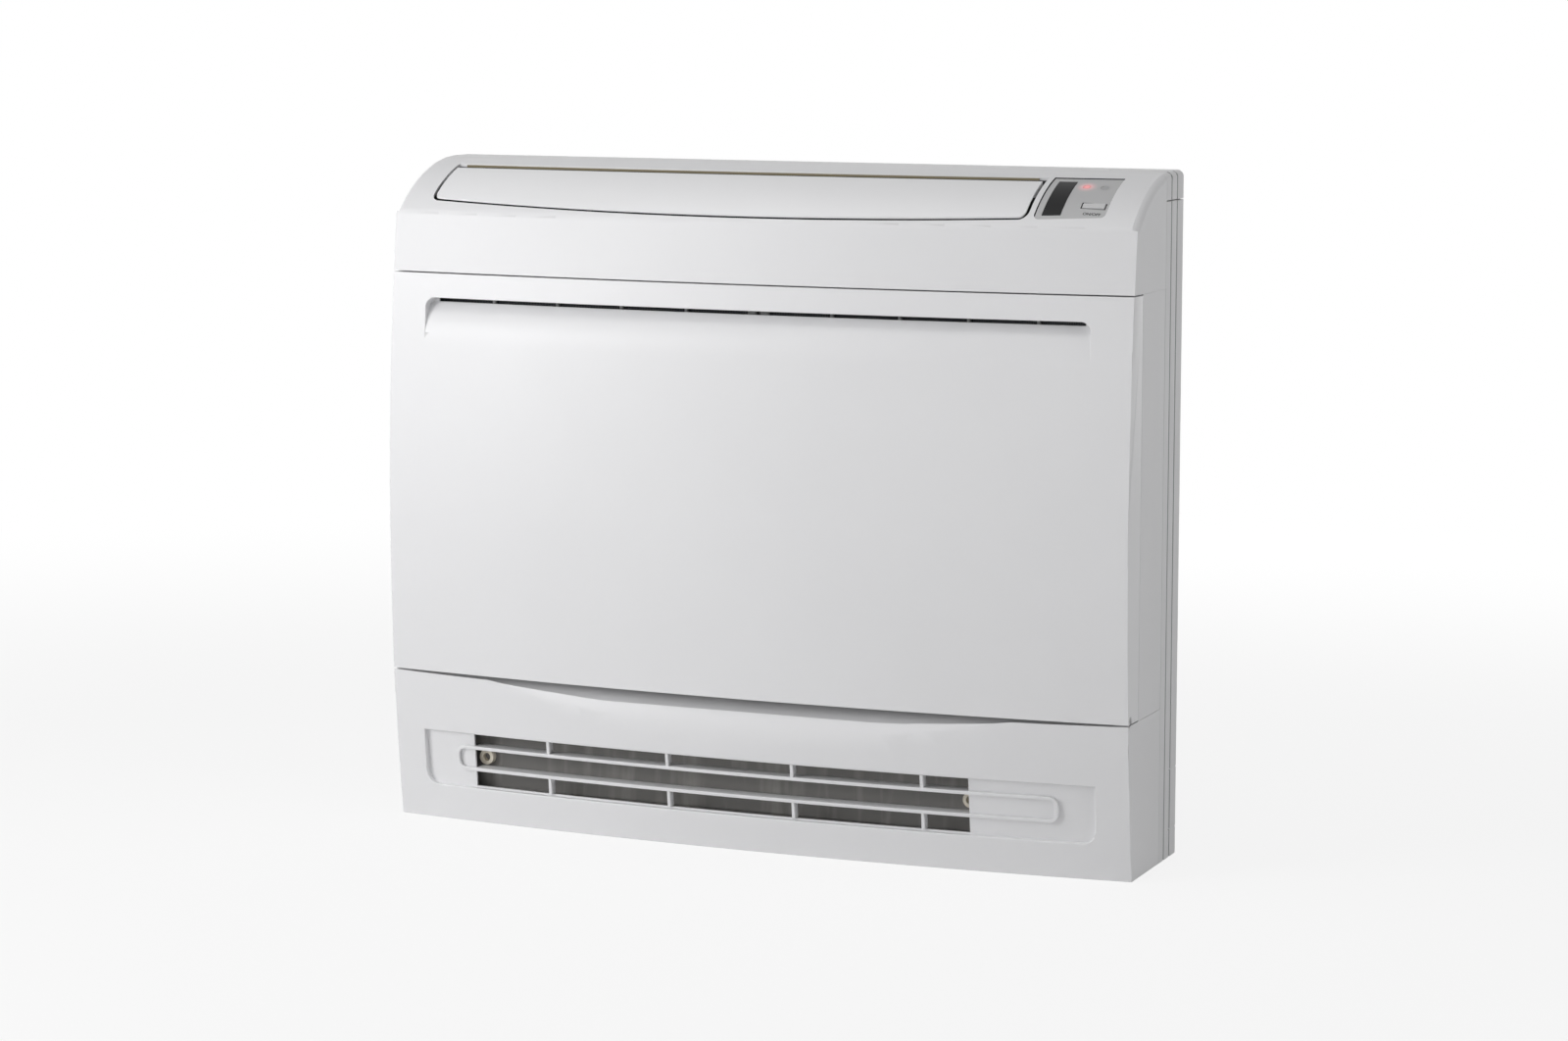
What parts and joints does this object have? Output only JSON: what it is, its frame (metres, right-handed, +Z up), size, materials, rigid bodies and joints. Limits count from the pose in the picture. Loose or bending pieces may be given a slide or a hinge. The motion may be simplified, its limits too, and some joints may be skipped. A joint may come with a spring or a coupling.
{
  "type": "floor console air conditioner",
  "caption": "White floor console air conditioner with a bowed hinged front panel, a top outlet vane with control panel and a lower outlet grille.",
  "frame": {"origin": "middle of the footprint, on the floor", "axes": "+X to the viewer's right along the width, +Y from the front towards the wall, +Z up"},
  "size_m": [0.7, 0.21, 0.6],
  "materials": {
    "casing_white": "satin",
    "frame_white": "satin",
    "panel_white": "satin",
    "vane_white": "satin",
    "hinge_grey": "satin",
    "duct_grey": "matte",
    "blade_grey": "matte",
    "boss_ivory": "satin",
    "seal_brown": "matte",
    "control_grey": "satin",
    "display_black": "gloss",
    "lamp_red": "gloss",
    "sensor_smoke": "gloss",
    "button_white": "satin",
    "chassis_zinc": "satin",
    "filter_white": "satin",
    "filter_mesh": "matte",
    "fin_aluminium": "satin",
    "pan_white": "matte"
  },
  "bodies": {
    "cabinet": {"upper_casing": "casing_white", "lower_casing": "casing_white", "left_side_casing": "casing_white", "right_side_casing": "casing_white", "left_rear_frame": "frame_white", "right_rear_frame": "frame_white", "top_rear_frame": "frame_white", "panel_hinge_brackets": "casing_white", "outlet_grille": "casing_white", "lower_duct": "duct_grey", "lower_damper": "duct_grey", "left_screw_boss": "boss_ivory", "right_screw_boss": "boss_ivory", "outlet_seal_strip": "seal_brown", "outlet_duct": "duct_grey", "deflector_blades": "blade_grey", "control_panel": "control_grey", "display_window": "display_black", "indicator_lamp": "lamp_red", "signal_sensor": "sensor_smoke", "rear_chassis": "chassis_zinc", "base_pan": "chassis_zinc", "inner_frame": "casing_white", "left_filter_frame": "filter_white", "right_filter_frame": "filter_white", "left_filter_mesh": "filter_mesh", "right_filter_mesh": "filter_mesh", "coil_fins": "fin_aluminium", "coil_end_plates": "chassis_zinc", "drain_pan": "pan_white", "electrical_box": "chassis_zinc"},
    "panel": {"front_panel": "panel_white", "panel_hinge_pins": "hinge_grey"},
    "vane": {"outlet_vane": "vane_white", "vane_pins": "hinge_grey"},
    "button": {"on_off_button": "button_white"}
  },
  "joints": [
    {"name": "panel_hinge", "type": "hinge", "parent": "cabinet", "child": "panel", "pos_m": [0, -0.07201, 0.1405], "axis": [1, 0, 0], "range_deg": [0, 30]},
    {"name": "vane_hinge", "type": "hinge", "parent": "cabinet", "child": "vane", "pos_m": [0, -0.021, 0.5836], "axis": [-1, 0, 0], "range_deg": [0, 45]},
    {"name": "button_press", "type": "slide", "parent": "cabinet", "child": "button", "axis": [0, 0.5682, -0.8229], "range_m": [0, 0.001], "stiffness_N_per_m": 600, "springref_m": -0.001}
  ]
}
